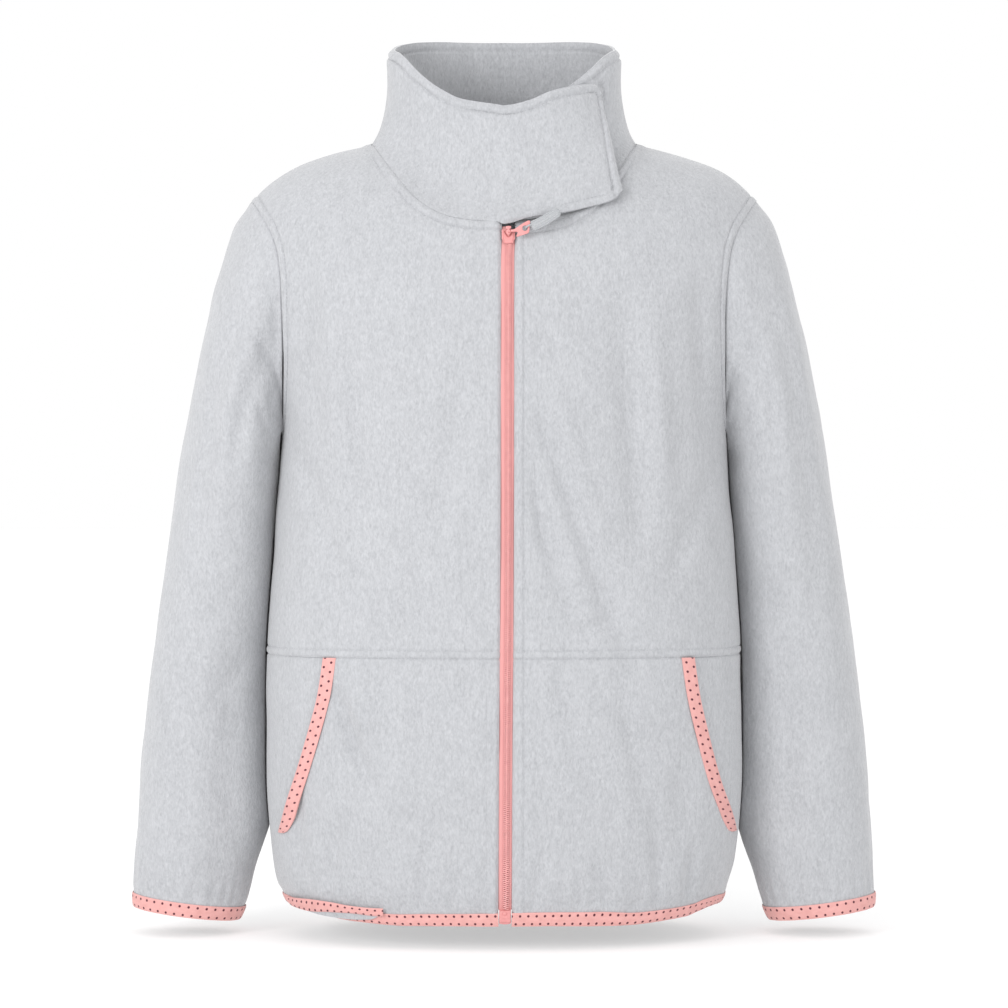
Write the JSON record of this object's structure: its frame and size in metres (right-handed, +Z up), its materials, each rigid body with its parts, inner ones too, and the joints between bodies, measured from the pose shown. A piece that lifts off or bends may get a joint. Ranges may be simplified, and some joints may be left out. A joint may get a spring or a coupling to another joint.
{
  "type": "fleece zip jacket",
  "caption": "Close-fitting fleece jacket with a tall lapped collar, centre zip, slanted bound front pockets, long set-in sleeves and bias-bound cuffs and hem, filled out as worn.",
  "frame": {"origin": "on the centre line between the two high shoulder points, where collar, shoulder seams and neck meet", "axes": "+X to the wearer's left, -Y to the front, +Z up"},
  "size_m": [0.6094, 0.2243, 0.727],
  "materials": {
    "fleece": "brushed light grey fleece",
    "binding": "salmon pink bias tape with small dark dots",
    "zip": "salmon pink moulded coil, tape, slider and tab",
    "puller": "grey ribbed puller"
  },
  "bodies": {
    "jacket": {"front_upper_right": "fleece", "front_upper_left": "fleece", "front_lower_right": "fleece", "front_lower_left": "fleece", "pocket_side_right": "fleece", "pocket_side_left": "fleece", "pocket_binding_right": "binding", "pocket_binding_left": "binding", "back": "fleece", "sleeve_right": "fleece", "sleeve_left": "fleece", "cuff_binding_right": "binding", "cuff_binding_left": "binding", "hem_binding": "binding", "hem_binding_lap": "binding", "collar": "fleece", "zip_tape_right": "zip", "zip_tape_left": "zip", "zip_coil": "zip", "zip_slider": "zip", "zip_box": "zip"},
    "zip_pull": {"zip_pull_tab": "zip", "zip_puller": "puller"}
  },
  "joints": [
    {"name": "zip_pull_swing", "type": "hinge", "parent": "jacket", "child": "zip_pull", "pos_m": [0.0035, -0.10967, -0.0825], "axis": [0, 0, -1], "range_deg": [0, 150]}
  ]
}
